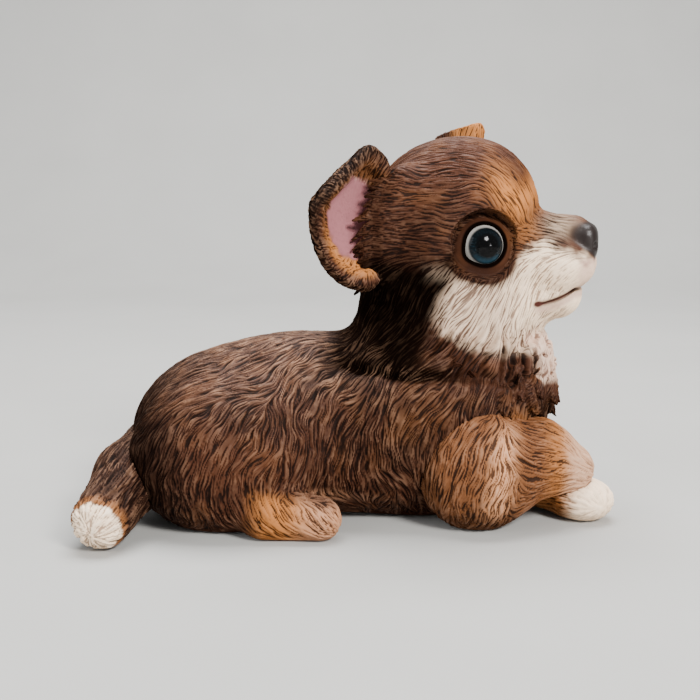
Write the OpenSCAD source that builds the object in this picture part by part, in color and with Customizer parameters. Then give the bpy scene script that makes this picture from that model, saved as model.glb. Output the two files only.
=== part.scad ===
// Lying puppy figurine: a hollow cast body and head, separately cast ears, forelegs and tail that
// locate on pegs, two doll's eyes, each a painted half ball under a clear cap, and a plug in the
// pour hole.
// Frame: +X is the way the dog lies and looks, +Y is its left side, +Z is up.
// The origin is on the flat underside, in the body's middle plane under the belly.

/* [Figurine] */
// Length over the tail and the front paw
overall_length = 148; // [140:1:170]
// Wall of the body and head castings
wall = 4.2; // [3.6:0.1:5]
// Facets round each blended form
form_facets = 24; // [20:2:28]

/* [Head pose] */
// How far the head turns towards the dog's right side
head_turn = 15; // [5:1:20]
// How far the crown leans towards the dog's right side
head_lean = 4; // [0:1:8]

/* [Eyes] */
// Diameter of each eye over its clear cap
eye_d = 14; // [13:0.1:14.4]
// Thickness of the clear cap over the painted half ball
eye_cap_t = 0.8; // [0.6:0.1:1.2]
// Width of the opening between the eyelids
eye_opening_d = 11.8; // [10.5:0.1:12]

/* [Joints between castings] */
// Diameter of the neck spigot
neck_spigot_d = 24; // [20:1:26]
// Length of the neck spigot
neck_spigot_l = 7; // [5:0.5:8]
// Diameter of the locating pegs on the legs and tail
peg_d = 7; // [5:0.5:8]
// Diameter of the locating peg on each ear
ear_peg_d = 4; // [3:0.5:5]
// Adhesive gap all round a joint
glue_gap = 0.15; // [0.1:0.05:0.25]

/* [Pour hole] */
// Diameter of the hole in the underside
pour_hole_d = 12; // [9:0.5:13]
// Diameter of the plug's head
plug_head_d = 17; // [15:0.5:18]

/* [Hidden] */
nominal_length = 148;
k = overall_length / nominal_length;
ground = 400;
coat = "saddlebrown";

// Forms of the torso, each [centre, radii]
rump = [[-32, 0, 20.8], [33, 30, 26.3]];
back = [[-13, 0, 27], [30, 26, 24]];
chest = [[26, 0, 26], [28, 25, 28]];
breast = [[43.5, 0, 37], [11.5, 14, 17]];
belly = [[2, 0, 15], [34, 24, 16.5]];
haunch = [[-36, 20, 18.5], [26.5, 18, 21]];
shoulder = [[14, 17, 33], [17, 12, 17]];
neck_low = [[25, 0, 40], [27.5, 24, 27.5]];
neck_high = [[26, 0, 64], [24.5, 20.5, 24.5]];
heel = [[-24, 31, 6.5], [7.5, 7.5, 7.5]];
hind_toes = [[-10, 33, 5.4], [5.8, 5.8, 5.8]];

// Forms of the head, in the head's own frame at the middle of the skull
skull = [[-1, 0, 0], [23.5, 22, 24.2]];
forehead = [[6, 0, 6], [16.8, 17.5, 17]];
cheek = [[2, 10.5, -12.5], [15.5, 12.7, 14]];
muzzle = [[24.5, 0, -8.8], [13.6, 10.5, 9.6]];
bridge = [[19, 0, -2], [6.6, 6.6, 6.6]];
muzzle_root = [[14, 0, -8.6], [14, 13.5, 10.6]];
bridge_end = [[33.5, 0, -1.6], [4.8, 4.8, 4.8]];
lip = [[31, 4.6, -10.5], [9, 5.6, 6.4]];
nose = [[36.8, 0, -2.9], [4.4, 5.2, 4.7]];
jaw = [[8, 0, -19], [10.5, 10.5, 10.5]];
chin = [[29.2, 0, -18.6], [7.2, 7.2, 7.2]];
head_at = k * [27.5, 0, 81.5];
head_cavity = [[-1, 0, 0], [14, 9, 17]];
eye_at = k * [8.3, 13.3, -4.2];
eye_look = [0.6, 0.8, 0.06];

// Forms of the limbs
upper_arm = [[32.5, 20, 16], [16, 13.5, 17]];
right_elbow = [[34, -21, 14], [13, 13, 13]];
right_wrist = [[50, -17, 18], [10.8, 10.8, 10.8]];
right_paw = [[59.2, -15, 14.4], [7.2, 7.2, 7.2]];
left_elbow = [[34, 20, 13], [12, 12, 12]];
left_wrist = [[48, 0, 9.5], [8.5, 8.5, 8.5]];
left_instep = [[60, -12, 6.3], [6.4, 6.4, 6.4]];
left_paw = [[63.8, -15.2, 5.6], [8.4, 8, 6]];
tail_root = [[-58, 0, 14], [12, 12, 12]];
tail_bend = [[-62.5, -18, 13], [9.5, 9.5, 9.5]];
tail_tip = [[-66, -40, 7.8], [7.7, 7.7, 7.7]];

// Joints: the neck plane leans forward, and the pegs point from a limb into the body
neck_at = k * [26, 0, 45];
neck_slope = 21;
spigot_bore = neck_spigot_d - 2 * wall;
leg_peg_at = k * [32, 29, 20];
leg_peg_l = k * 16;
tail_peg_at = k * [-67, 0, 15];
right_ear_form = [[-21.5, -25.3, 2], [12.8, 20, 8]];
right_ear_face = [0.7, -0.71, 0.08];
right_ear_up = [0, -0.1, 1];
right_ear_root = [0.72, -0.2, -0.61];
left_ear_form = [[1.5, 23.5, 9], [11, 18, 7]];
left_ear_face = [0.72, 0.66, 0.05];
left_ear_up = [0.15, 0.15, 1];
left_ear_root = [0.3, -0.2, -0.87];
ear_t = 2.2;
ear_peg_l = 7;

// Pour hole, behind the belly pad
hole_at = k * [-32, 0, 0];
plug_head_t = 2;
plug_recess = 0.6;
plug_shank_l = 8;
eye_ball_gap = 0.02;

function unit(v) = v / norm(v);
// Matrix of a frame at p whose +Z is n and whose +Y is nearest to up
function facing(p, n, up = [0, 0, 1]) =
    let (z = unit(n), x = unit(cross(up, z)), y = cross(z, x))
    [[x.x, y.x, z.x, p.x], [x.y, y.y, z.y, p.y], [x.z, y.z, z.z, p.z], [0, 0, 0, 1]];
function mirrored(e) = [[e[0].x, -e[0].y, e[0].z], e[1]];

// One rounded form, grown by g on every side
module form(e, g = 0)
    hull() translate(k * e[0]) scale(k * e[1] + [g, g, g]) sphere(r = 1, $fn = form_facets);

// Two forms with the skin drawn tight between them
module limb(a, b, g = 0)
    hull() {
        form(a, g);
        form(b, g);
    }

module both_sides() {
    children();
    mirror([0, 1, 0]) children();
}

module on_head() translate(head_at) rotate([head_lean, 0, -head_turn]) children();

module above_ground() {
    intersection() {
        children();
        translate([-ground / 2, -ground / 2, 0]) cube(ground);
    }
}

// Half space above the neck plane, moved up by lift
module above_neck(lift = 0)
    translate(neck_at) rotate([0, neck_slope, 0]) translate([-ground / 2, -ground / 2, lift]) cube(ground);

module neck_pin(d, l, lift = 0)
    translate(neck_at) rotate([0, neck_slope, 0]) translate([0, 0, lift - l]) cylinder(d = d, h = l, $fn = 48);

module neck_form(g = 0) limb(neck_low, neck_high, g);

module torso_form(g = 0) {
    limb(rump, back, g);
    limb(back, chest, g);
    limb(chest, breast, g);
    form(belly, g);
    neck_form(g);
    both_sides() {
        form(haunch, g);
        form(shoulder, g);
        limb(heel, hind_toes, g);
    }
}

module head_form(g = 0) {
    limb(skull, forehead, g);
    limb(skull, muzzle_root, g);
    limb(muzzle_root, bridge, g);
    limb(muzzle, bridge, g);
    limb(bridge_end, nose, g);
    limb(bridge, bridge_end, g);
    limb(jaw, chin, g);
    both_sides() {
        limb(cheek, muzzle_root, g);
        limb(lip, muzzle, g);
    }
}

module right_foreleg_form(g = 0) {
    limb(mirrored(upper_arm), right_elbow, g);
    limb(right_elbow, right_wrist, g);
    limb(right_wrist, right_paw, g);
}

module left_foreleg_form(g = 0) {
    limb(upper_arm, left_elbow, g);
    limb(left_elbow, left_wrist, g);
    limb(left_wrist, left_instep, g);
    form(left_paw, g);
}

module tail_form(g = 0) {
    limb(tail_root, tail_bend, g);
    limb(tail_bend, tail_tip, g);
}

// Peg from a foreleg towards the middle of the body; side is 1 on the left
module leg_peg(side, d)
    translate([leg_peg_at.x, side * leg_peg_at.y, leg_peg_at.z]) rotate([side * 90, 0, 0])
        cylinder(d = d, h = leg_peg_l + d / 4, $fn = 32);

module tail_peg(d) translate(tail_peg_at) rotate([0, 90, 0]) cylinder(d = d, h = k * 9 + d / 4, $fn = 32);

// Thin cup whose mouth faces the way the ear opens
module ear_cup(e, face, up) {
    r = k * e[1];
    multmatrix(facing(k * e[0], face, up)) difference() {
        hull() intersection() {
            scale(r) sphere(r = 1, $fn = form_facets);
            translate([-r.x, -r.y, -2 * r.z]) cube([2 * r.x, 2 * r.y, 2 * r.z + 0.6]);
        }
        translate([0, 0, 0.7]) scale(r - [ear_t, ear_t, ear_t]) sphere(r = 1, $fn = form_facets);
    }
}

// Peg from the ear's root into the skull; root is a point of the cup in fractions of its radii
module ear_peg(e, face, up, root, d) {
    m = facing(k * e[0], face, up);
    from = [for (i = [0:2]) m[i] * [k * root.x * e[1].x, k * root.y * e[1].y, k * root.z * e[1].z, 1]];
    way = unit([0.2 * from.x, 0, from.z] - from);
    multmatrix(facing(from - way, way)) cylinder(d = d, h = ear_peg_l + 1 + (d - ear_peg_d), $fn = 24);
}

module right_ear_peg(d) ear_peg(right_ear_form, right_ear_face, right_ear_up, right_ear_root, d);
module left_ear_peg(d) ear_peg(left_ear_form, left_ear_face, left_ear_up, left_ear_root, d);

// Everything on one side of the head that an eye needs: its cap, its ball and the way out
module at_eye(side) mirror([0, side < 0 ? 1 : 0, 0]) multmatrix(facing(eye_at, eye_look)) children();

module eye_seat() {
    gap = glue_gap;
    rotate_extrude($fn = 36) intersection() {
        circle(d = eye_d + 2 * gap, $fn = 36);
        square(eye_d);
    }
    translate([0, 0, -gap]) cylinder(d = eye_d + 2 * gap, h = gap + 0.01, $fn = 36);
    cylinder(d = eye_opening_d, h = eye_d, $fn = 36);
}

module pour_hole() {
    translate([hole_at.x, hole_at.y, -1]) cylinder(d = pour_hole_d, h = 30, $fn = 48);
    translate([hole_at.x, hole_at.y, -1]) cylinder(d = plug_head_d + 1, h = 1 + plug_recess + plug_head_t, $fn = 48);
}

module body_cavity() {
    difference() {
        union() {
            limb(rump, back, -wall);
            limb(back, chest, -wall);
            form(neck_low, -wall);
        }
        above_neck(-neck_spigot_l - wall);
        translate([-ground / 2, -ground / 2, wall - ground]) cube(ground);
    }
}

module body_shell()
    color(coat) union() difference() {
        above_ground() torso_form();
        above_neck();
        body_cavity();
        neck_pin(neck_spigot_d + 2 * glue_gap, neck_spigot_l + glue_gap + 1, 1);
        neck_pin(spigot_bore, 21, 1);
        leg_peg(1, peg_d + 2 * glue_gap);
        leg_peg(-1, peg_d + 2 * glue_gap);
        tail_peg(peg_d + 2 * glue_gap);
        pour_hole();
    }

module head_shell()
    color("sienna") union() difference() {
        union() {
            intersection() {
                union() {
                    on_head() head_form();
                    torso_form();
                }
                above_neck();
            }
            neck_pin(neck_spigot_d, neck_spigot_l + 1, 1);
        }
        on_head() form(head_cavity);
        neck_pin(spigot_bore, 40, 28);
        on_head() {
            at_eye(1) eye_seat();
            at_eye(-1) eye_seat();
            right_ear_peg(ear_peg_d + 2 * glue_gap);
            left_ear_peg(ear_peg_d + 2 * glue_gap);
        }
    }

module ear(e, face, up)
    color("peru") union() {
        on_head() difference() {
            ear_cup(e, face, up);
            head_form(glue_gap);
        }
        on_head() children();
    }

module right_ear() ear(right_ear_form, right_ear_face, right_ear_up) right_ear_peg(ear_peg_d);
module left_ear() ear(left_ear_form, left_ear_face, left_ear_up) left_ear_peg(ear_peg_d);

module right_foreleg()
    color(coat) union() above_ground() {
        difference() {
            right_foreleg_form();
            torso_form(glue_gap);
        }
        leg_peg(-1, peg_d);
    }

module left_foreleg()
    color("wheat") union() above_ground() {
        difference() {
            left_foreleg_form();
            torso_form(glue_gap);
            right_foreleg_form(glue_gap);
        }
        leg_peg(1, peg_d);
    }

module tail()
    color(coat) union() above_ground() {
        difference() {
            tail_form();
            torso_form(glue_gap);
        }
        tail_peg(peg_d);
    }

module half_ball(r) rotate_extrude($fn = 96) intersection() {
    circle(r = r, $fn = 96);
    square(2 * r);
}

module eye_cap(side)
    color("skyblue") on_head() at_eye(side) difference() {
        half_ball(eye_d / 2);
        half_ball(eye_d / 2 - eye_cap_t);
    }

module eye_ball(side)
    color("black") on_head() at_eye(side) half_ball(eye_d / 2 - eye_cap_t - eye_ball_gap);

module right_eye_cap() eye_cap(-1);
module left_eye_cap() eye_cap(1);
module right_eye_ball() eye_ball(-1);
module left_eye_ball() eye_ball(1);

// Soft plug: a flat head in the recess, a shank, and a bead that snaps in behind the wall
module pour_hole_plug()
    color("dimgray") translate([hole_at.x, hole_at.y, plug_recess]) rotate_extrude($fn = 48) {
        square([plug_head_d / 2, plug_head_t]);
        square([pour_hole_d / 2 - 0.1, plug_shank_l]);
    }

body_shell();
head_shell();
right_ear();
left_ear();
right_foreleg();
left_foreleg();
tail();
right_eye_cap();
left_eye_cap();
right_eye_ball();
left_eye_ball();
pour_hole_plug();
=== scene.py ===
"""Lying puppy figurine: carved and painted castings over the CAD frame.

Shapes are signed distance functions in millimetres; each casting is meshed from its own function,
then its fur is carved along a flow field. Everything is handed to Blender in metres.
"""
import math

import bpy
import numpy as np
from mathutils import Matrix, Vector


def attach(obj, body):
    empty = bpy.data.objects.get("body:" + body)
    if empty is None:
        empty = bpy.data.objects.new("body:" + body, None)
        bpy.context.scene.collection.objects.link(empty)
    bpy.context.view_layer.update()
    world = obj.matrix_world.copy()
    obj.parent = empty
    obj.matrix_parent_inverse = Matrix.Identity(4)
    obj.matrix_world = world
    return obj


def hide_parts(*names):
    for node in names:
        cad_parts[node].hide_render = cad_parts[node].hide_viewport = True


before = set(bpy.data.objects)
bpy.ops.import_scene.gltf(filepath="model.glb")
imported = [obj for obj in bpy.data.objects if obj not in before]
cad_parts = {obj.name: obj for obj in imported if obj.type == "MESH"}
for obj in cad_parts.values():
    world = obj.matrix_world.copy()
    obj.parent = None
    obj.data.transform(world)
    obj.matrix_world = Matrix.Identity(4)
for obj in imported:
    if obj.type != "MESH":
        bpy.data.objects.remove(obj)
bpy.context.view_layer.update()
F32 = np.float32
rng = np.random.RandomState(11)
HASH_MASK = 65535
TABLE = rng.uniform(-1, 1, HASH_MASK + 1).astype(F32)
HASH_PRIMES = (73856093, 19349663, 83492791, 2654435761)


# ---------------------------------------------------------------- small maths

def vec(*a):
    return np.array(a, F32)


def unit(v):
    v = np.asarray(v, float)
    return v / np.linalg.norm(v)


def norm(v):
    return v / (np.sqrt((v * v).sum(-1, keepdims=True)) + 1e-9)


def smin(a, b, k):
    h = np.clip(0.5 + 0.5 * (b - a) / k, 0, 1)
    return b + (a - b) * h - k * h * (1 - h)


def smax(a, b, k):
    return -smin(-a, -b, k)


def step(a, b, x):
    t = np.clip((x - a) / (b - a), 0, 1)
    return t * t * (3 - 2 * t)


def blob(*terms):
    """Soft spot: 1 where every term is 0, and nearly gone where any reaches 2."""
    return np.exp(-sum(t * t for t in terms))


def rot(yaw, roll):
    y, r = np.radians([yaw, roll])
    rz = np.array([[np.cos(y), -np.sin(y), 0], [np.sin(y), np.cos(y), 0], [0, 0, 1]])
    rx = np.array([[1, 0, 0], [0, np.cos(r), -np.sin(r)], [0, np.sin(r), np.cos(r)]])
    return (rz @ rx).astype(F32)


def frame_of(n, v):
    """Matrix whose columns are u, v, n: n is the normal and v roughly the given up."""
    n = unit(n)
    u = unit(np.cross(v, n))
    return np.stack([u, np.cross(n, u), n], 1).astype(F32)


def corners(p, fade, seed):
    """The eight lattice corners around p: each one's weight, offset and table index."""
    i = np.floor(p).astype(np.int64)
    f = (p - i).astype(F32)
    s = fade(f)
    for dx in (0, 1):
        hx = (i[..., 0] + dx) * HASH_PRIMES[0]
        wx = s[..., 0] if dx else 1 - s[..., 0]
        for dy in (0, 1):
            hy = hx ^ ((i[..., 1] + dy) * HASH_PRIMES[1])
            wy = wx * (s[..., 1] if dy else 1 - s[..., 1])
            for dz in (0, 1):
                h = hy ^ ((i[..., 2] + dz) * HASH_PRIMES[2]) ^ (seed * HASH_PRIMES[3])
                wz = s[..., 2] if dz else 1 - s[..., 2]
                yield wy * wz, (f[..., 0] - dx, f[..., 1] - dy, f[..., 2] - dz), (h ^ (h >> 13)) & HASH_MASK


def noise(p, seed):
    """Value noise of lattice pitch 1, about -1 to 1."""
    out = 0
    for w, _, h in corners(p, lambda f: f * f * (3 - 2 * f), seed):
        out = out + w * TABLE[h]
    return out


def ripple(p, seed):
    """Gradient noise of lattice pitch 1: even in width, with no broad blotches."""
    out = 0
    for w, (x, y, z), h in corners(p, lambda f: f * f * f * (f * (f * 6 - 15) + 10), seed):
        g = TABLE[h] * x + TABLE[(h + 7919) & HASH_MASK] * y + TABLE[(h + 104729) & HASH_MASK] * z
        out = out + w * g
    return out * 2.2


def noise3(p, pitch, seed):
    return np.stack([noise(p / pitch, seed + k) for k in range(3)], -1)


# ---------------------------------------------------------------- primitives

def ell(p, c, r):
    """Ellipsoid with centre c and half axes r."""
    r = np.array(r, F32)
    a = (p - np.array(c, F32)) / r
    k0 = np.sqrt((a * a).sum(-1)) + 1e-6
    b = a / r
    k1 = np.sqrt((b * b).sum(-1)) + 1e-6
    return k0 * (k0 - 1) / k1


def cone(p, a, b, ra, rb):
    """Round-ended taper from a, of radius ra, to b, of radius rb."""
    a, b = np.array(a, F32), np.array(b, F32)
    ab = b - a
    t = np.clip((p - a) @ ab / (ab @ ab), 0, 1)
    q = p - (a + t[..., None] * ab)
    return np.sqrt((q * q).sum(-1)) - (ra + (rb - ra) * t)


def folded(p):
    """p mirrored to the left side, for forms that are the same on both."""
    return np.stack([p[..., 0], np.abs(p[..., 1]), p[..., 2]], -1)


# ---------------------------------------------------------------- the puppy's form

HEAD_AT = vec(27.5, 0, 81.5)
HEAD_R = rot(-15, 4)
EYE_R = 7.0
EYE_AT = vec(9.4, 13.9, -3.9)
EYE_LOOK = (0.46, 0.88, 0.06)
LID_R = 5.95                    # the opening of the lids
LID_CORNER = -27                # its back corner, in degrees round the eye's axis
NECK_AT = vec(26, 0, 45)
NECK_SLOPE = math.radians(21)
HOLE_AT = (-32.0, 0.0)
SEAT_R, SEAT_TOP = 9.1, 2.7     # the plug's flange seat
BORE_R, BORE_TOP = 6.1, 9.0     # the pour hole
GAP = 0.06                      # between a casting and the next
LAP = 0.3                       # the head and body castings run this far past their joint, out of sight


def to_head(p):
    return (p - HEAD_AT) @ HEAD_R


def above_neck(p):
    """Height over the plane where the head casting meets the body casting."""
    q = p - NECK_AT
    return q[..., 0] * math.sin(NECK_SLOPE) + q[..., 2] * math.cos(NECK_SLOPE)


def neck_cut(p):
    """The same joint, wandering through the roots of the ruff."""
    return above_neck(p) + 0.9 * noise(p / 4.5, 21) + 0.35 * noise(p / 1.8, 22)


def torso(p):
    s = folded(p)
    d = ell(p, (-32, 0, 20.8), (33, 30, 26.3))
    d = smin(d, ell(p, (2, 0, 15), (34, 24, 16.5)), 6)
    d = smin(d, ell(p, (-13, 0, 27), (31, 26, 24)), 8)
    d = smin(d, ell(p, (26, 0, 26), (28, 25, 28)), 12)
    d = smin(d, ell(s, (-36, 20, 18.5), (26.5, 18, 21)), 6)
    d = smin(d, ell(s, (14, 17, 33), (17, 12, 17)), 8)
    d = smin(d, cone(s, (-24, 31, 6.5), (-10, 33, 5.4), 7.5, 5.8), 4)
    neck = cone(p * vec(1, 1.2, 1), (25, 0, 40), (26, 0, 64), 27.5, 24.5) * 0.85
    d = smin(d, neck, 8)
    d = smin(d, ell(p, (43.5, 0, 37), (11.5, 14, 17)), 6)
    return d


EYE_F = frame_of(EYE_LOOK, (0, 0, 1))
# swell of hair in front of the near ear
MOUND = ((-11.5, -17.0, 14), (-15.8, -20.6, 4), (-16.4, -21.2, -12))


def mouth_height(x):
    """Height of the line of the lips, which rises towards the front."""
    x = np.clip(x, 20, 34.6) - 25
    return -20.5 + np.maximum(x, 0) ** 2 * 0.036 + 0.06 * x


def skull_plain(q):
    """The head without eyes or mouth, in the head's own frame."""
    s = folded(q)
    d = ell(q, (-1, 0, 0), (23.5, 22.0, 24.2))
    d = smin(d, ell(q, (6, 0, 6), (16.8, 17.5, 17)), 6)
    d = smin(d, ell(s, (2, 10.5, -12.5), (15.5, 12.7, 14)), 8)
    d = smin(d, ell(q, (24.5, 0, -8.8), (13.6, 10.5, 9.6)), 5)
    d = smin(d, cone(q, (19, 0, -2), (33.5, 0, -1.6), 6.6, 4.8), 3)
    d = smin(d, cone(q, (8, 0, -19.0), (29.2, 0, -18.6), 10.5, 7.2), 4)
    d = smin(d, ell(s, (31, 4.6, -10.5), (9, 5.6, 6.4)), 2.5)
    mound = np.minimum(cone(q, MOUND[0], MOUND[1], 3.4, 3.4), cone(q, MOUND[1], MOUND[2], 3.4, 2.6))
    return smin(d, mound, 7)


def nose(q):
    a = np.abs((q - vec(35.9, 0, -4.3)) / vec(4.5, 5.6, 5.5))
    return ((a ** 3).sum(-1) ** (1 / 3) - 1) * 4.4


def lid_opening(s):
    """Distance outside the almond opening of the lids, and height along the eye's axis."""
    l = (s - EYE_AT) @ EYE_F
    rho = np.sqrt(l[..., 0] ** 2 + l[..., 1] ** 2) * (EYE_R / np.clip(np.sqrt((l * l).sum(-1)), 5.0, 8.2))
    phi = np.arctan2(l[..., 1], l[..., 0])
    from_corner = np.angle(np.exp(1j * (phi - math.radians(LID_CORNER)))).astype(F32)
    return rho - (LID_R + 1.0 * blob(from_corner / 0.42)), l[..., 2]


def skull(q):
    """The head with nose, mouth and the sockets of the eyes."""
    s = folded(q)
    d = smin(skull_plain(q), nose(q), 1.2)
    # nostrils
    d = smax(d, -cone(s, (41.0, 2.3, -5.2), (39.6, 3.4, -4.6), 0.8, 1.0), 0.5)
    # groove under the nose
    groove = np.maximum(np.abs(q[..., 1]) - 0.3, np.abs(q[..., 2] + 10.6) - 5.2)
    d = smax(d, -np.maximum(groove, -(d + 0.5)), 0.5)
    # mouth
    slit = np.maximum(np.abs(q[..., 2] - mouth_height(q[..., 0])) - 0.5, 24.6 - q[..., 0])
    d = smax(d, -np.maximum(slit, -(d + 1.1)), 0.5)
    # lids over the eye, opening outwards so that no deep wall shows
    e = s - EYE_AT
    r = np.sqrt((e * e).sum(-1))
    d = smin(d, r - (EYE_R + 0.7), 2.0)
    rim, up = lid_opening(s)
    above = step(0, 3, (e @ EYE_F)[..., 1])
    flare = 1.3 * np.clip(r - EYE_R - 0.6, 0, 1.5) + 0.6 * above * np.clip(r - EYE_R - 2.1, 0, 1.2)
    d = smax(d, -np.maximum(rim - flare, 0.5 - up), 0.4)
    return np.maximum(d, -(r - EYE_R - GAP))


def ear_shape(q, c, n, v, a, b, depth, side):
    """Cupped shell with a rolled rim. Also the coordinates across, up and out of it, and its radius."""
    M = frame_of(n, v)
    l = (q - np.array(c, F32)) @ M
    u, h, w = l[..., 0] * side, l[..., 1], l[..., 2]
    r = np.sqrt((u / a) ** 2 + (h / (b * np.where(h < 0, 0.85, 1.0))) ** 2)
    w0 = depth * (np.clip(r, 0, 1.4) ** 2 - 1)
    d = smax(np.abs(w - w0) * 0.72 - 1.1, (r - 1) * a * 0.85, 1.2)
    rim = np.sqrt(((r - 0.93) * a * 0.9) ** 2 + (w + 0.4) ** 2) - 1.6
    d = smin(d, rim, 2.5)
    return d, u, h, w, r


# centre, normal, up, half width, half height, depth, side
RIGHT_EAR = ((-20.7, -25.0, 3.4), (0.70, -0.71, 0.08), (0, -0.1, 1), 14.0, 20.0, 7.0, -1)
LEFT_EAR = ((-1.0, 22.5, 8), (0.55, 0.83, 0.05), (0.15, 0.15, 1), 12, 22, 5.0, 1)


def across_fold(u, h):
    """Distance across the near ear's folded top edge, which lies at 14 mm."""
    return 0.542 * u + 0.84 * h


def ear_right(q):
    """Near ear: straight folded top edge, narrow foot, front edge sunk in the hair of the head."""
    d, u, h, w, _ = ear_shape(q, *RIGHT_EAR)
    d = smax(d, across_fold(u, h) - 14.0, 1.0)
    d = smax(d, -(u + 11.5 - 0.1 * h + 1.0 * np.minimum(h + 6, 0)), 0.6)
    l = np.stack([u, h, w], -1)
    top = cone(l, (-3.6, 17.6, 0.4), (10.3, 8.6, 1.2), 2.1, 2.3)
    d = smin(d, top, 1.2)
    return smin(d, ell(l, (1.0, -15.6, 0.2), (2.6, 2.6, 2.0)), 1.5)


def ear_left(q):
    """Far ear: a pointed tip over the head, sloping backwards."""
    d, u, h, _, _ = ear_shape(q, *LEFT_EAR)
    d = smax(d, 0.286 * u + 0.959 * h - 18.0, 0.8)
    return smax(d, -(u + 5.8 + 0.1 * h), 0.8)


def foreleg_right(p):
    d = ell(p, (32.5, -20, 16), (16, 13.5, 17))
    d = smin(d, cone(p, (34, -21, 14), (50, -17, 18), 13, 10.8), 6)
    return smin(d, cone(p, (50, -17, 18), (59.2, -15, 14.4), 9.5, 7.2), 4)


def foreleg_left(p):
    d = ell(p, (32.5, 20, 16.5), (16, 13.5, 17))
    d = smin(d, cone(p, (34, 20, 13), (48, 0, 9.5), 12, 8.5), 6)
    d = smin(d, cone(p, (48, 0, 9.5), (60, -12, 6.3), 8.5, 6.4), 4)
    return smin(d, ell(p, (63.8, -15.2, 5.6), (8.4, 8, 6.0)), 3)


TAIL_BEND, TAIL_TIP = (-62.5, -18, 13), (-66, -40, 7.8)


def tail_form(p):
    d = cone(p, (-58, 0, 14), TAIL_BEND, 12, 9.5)
    return smin(d, cone(p, TAIL_BEND, TAIL_TIP, 9.5, 7.7), 4)


def bare_whole(p):
    """Body, neck and head as one flowing form, before the hanging locks."""
    return smin(torso(p), skull(to_head(p)), 7)


def hang_locks():
    """Curled locks of the bib: rows of short bent tapers rooted on the chest and throat."""
    out = []
    rows = ((50.5, 46, 0.9), (46.5, 56, 1.2), (42, 66, 1.4), (37.5, 72, 1.3), (33, 70, 0.9))
    for row, (z, spread, size) in enumerate(rows):
        count = 6 + row % 2
        for k in range(count):
            a = math.radians(spread * (2 * (k + 0.5) / count - 1) + rng.uniform(-5, 5))
            out_dir = vec(math.cos(a), math.sin(a), 0)
            line = vec(30, 0, z + rng.uniform(-1, 1)) + np.linspace(4, 30, 131)[:, None].astype(F32) * out_dir
            hit = line[np.argmax(bare_whole(line) > -0.6)]
            swing = vec(-math.sin(a), math.cos(a), 0) * rng.uniform(-1.2, 1.2)
            knee = hit + (0.9 * out_dir + vec(0, 0, -3.2) + 0.5 * swing) * size
            tip = knee + (1.25 * out_dir + vec(0, 0, -1.5) + 0.7 * swing) * size
            out.append((hit, knee, tip, size))
    return out


def ear_tufts():
    """Pointed tufts of head hair lying over the front edge of the near ear."""
    out, count = [], 22
    a, b, c = (np.array(m, F32) for m in MOUND)
    for k in range(count):
        f = (k + rng.uniform(0.1, 0.9)) / count
        base = a + (b - a) * min(f * 2, 1) + (c - b) * max(f * 2 - 1, 0)
        way = unit((-0.95, rng.uniform(-0.55, -0.15), 0.15 - 0.8 * f + rng.uniform(-0.2, 0.2)))
        base = base + vec(-0.5, -0.6, 0) * 3.0
        knee = base + way * 3.0
        tip = knee + unit(way + np.array((0.1, 0.25, -0.2))) * rng.uniform(2.4, 4.4)
        out.append([HEAD_R @ v.astype(F32) + HEAD_AT for v in (base, knee, tip)] + [0.72])
    return out


LOCKS = hang_locks()
EAR_TUFTS = ear_tufts()


def whole(p):
    """Body, neck and head with the locks and tufts."""
    d = bare_whole(p)
    x, y, z = p[..., 0], p[..., 1], p[..., 2]
    chest = (x > 32) & (z > 22) & (z < 56) & (np.abs(d) < 7)
    temple = (x > -12) & (x < 22) & (y < -8) & (z > 60) & (z < 104) & (np.abs(d) < 7)
    d = d.copy()
    for near, locks in ((chest, LOCKS), (temple, EAR_TUFTS)):
        q = p[near]
        if len(q):
            e = np.full(len(q), 9, F32)
            for a, b, c, k in locks:
                root = cone(q, a, b, 1.5 * k, 1.35 * k)
                e = np.minimum(e, np.minimum(root, cone(q, b, c, 1.35 * k, 0.45 * k)))
            d[near] = smin(d[near], e, 0.9)
    return d


# ---------------------------------------------------------------- castings

def floor_cut(d, p):
    return smax(d, -p[..., 2], 0.8)


def casting_body(p):
    d = np.maximum(whole(p), neck_cut(p) - LAP)
    flat = p[..., :2] - vec(*HOLE_AT)
    r = np.sqrt((flat * flat).sum(-1))
    d = np.maximum(d, -np.maximum(r - SEAT_R, p[..., 2] - SEAT_TOP))
    d = np.maximum(d, -np.maximum(r - BORE_R, p[..., 2] - BORE_TOP))
    return floor_cut(d, p)


def casting_head(p):
    return np.maximum(whole(p), -neck_cut(p) - LAP)


def casting_right_leg(p):
    return floor_cut(np.maximum(foreleg_right(p), -(whole(p) - GAP)), p)


def casting_left_leg(p):
    d = np.maximum(foreleg_left(p), -(whole(p) - GAP))
    return floor_cut(np.maximum(d, -(foreleg_right(p) - GAP)), p)


def casting_tail(p):
    return floor_cut(np.maximum(tail_form(p), -(torso(p) - GAP)), p)


def casting_right_ear(p):
    q = to_head(p)
    return np.maximum(ear_right(q), -(skull_plain(q) - GAP))


def casting_left_ear(p):
    q = to_head(p)
    return np.maximum(ear_left(q), -(skull_plain(q) - GAP))


# ---------------------------------------------------------------- meshing

def gradient(fn, p, e=0.12):
    """Unit normals of fn, from four samples at distance e."""
    g = 0
    for k in ((1, -1, -1), (-1, -1, 1), (-1, 1, -1), (1, 1, 1)):
        k = np.array(k, F32)
        g = g + k * fn(p + k * e)[..., None]
    return norm(g)


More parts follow.
